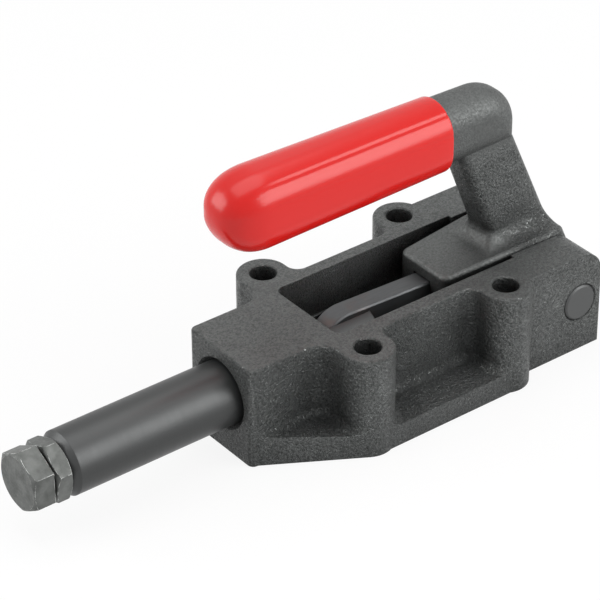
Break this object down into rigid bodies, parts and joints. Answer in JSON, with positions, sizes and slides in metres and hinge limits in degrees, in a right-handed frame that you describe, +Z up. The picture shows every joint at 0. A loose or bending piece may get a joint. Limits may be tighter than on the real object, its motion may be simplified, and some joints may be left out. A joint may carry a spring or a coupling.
{
  "type": "push-pull toggle clamp",
  "caption": "Push-pull toggle clamp: flanged cast body with bolt holes, sliding plunger with adjustable hex-head screw, and an over-centre lever with a sleeved grip.",
  "frame": {"origin": "centre of the four bolt holes on the underside of the flange", "axes": "+X the way the plunger pushes, +Z up away from the mounting face, +Y completes a right-handed frame"},
  "size_m": [0.2159, 0.073, 0.0991],
  "materials": {
    "phosphated_casting": "dark grey phosphated casting, fine grain, machined faces a little smoother",
    "phosphated_forging": "dark grey phosphated forging, fine grain",
    "blackened_steel": "turned and ground steel with a black oxide finish, soft sheen",
    "zinc_steel": "dark zinc plating, slightly rough, brighter at worn edges",
    "pin_steel": "dark ground steel pin",
    "red_vinyl": "glossy bright red dipped vinyl"
  },
  "bodies": {
    "frame": {"body_casting": "phosphated_casting", "pivot_pin": "pin_steel"},
    "ram": {"plunger": "blackened_steel", "plunger_pin": "pin_steel", "lock_nut": "zinc_steel"},
    "screw": {"spindle_screw": "zinc_steel"},
    "handle": {"handle_lever": "phosphated_forging", "handle_grip": "red_vinyl", "link_pin": "pin_steel"},
    "link": {"toggle_link": "phosphated_forging"}
  },
  "joints": [
    {"name": "handle_swing", "type": "hinge", "parent": "frame", "child": "handle", "pos_m": [-0.0605, 0, 0.0187], "axis": [0, -1, 0], "range_deg": [0, 90]},
    {"name": "link_swing", "type": "hinge", "parent": "handle", "child": "link", "pos_m": [-0.027, 0, 0.01865], "axis": [0, -1, 0], "range_deg": [-137.9, 0]},
    {"name": "plunger_slide", "type": "slide", "parent": "frame", "child": "ram", "axis": [-1, 0, 0], "range_m": [0, 0.0467]},
    {"name": "screw_adjustment", "type": "slide", "parent": "ram", "child": "screw", "axis": [1, 0, 0], "range_m": [0, 0.02]}
  ],
  "couplings": [
    {"joint": "link_swing", "follows": "handle_swing", "ratio": -1.5306},
    {"joint": "plunger_slide", "follows": "handle_swing", "m_per_rad": 0.029708}
  ]
}
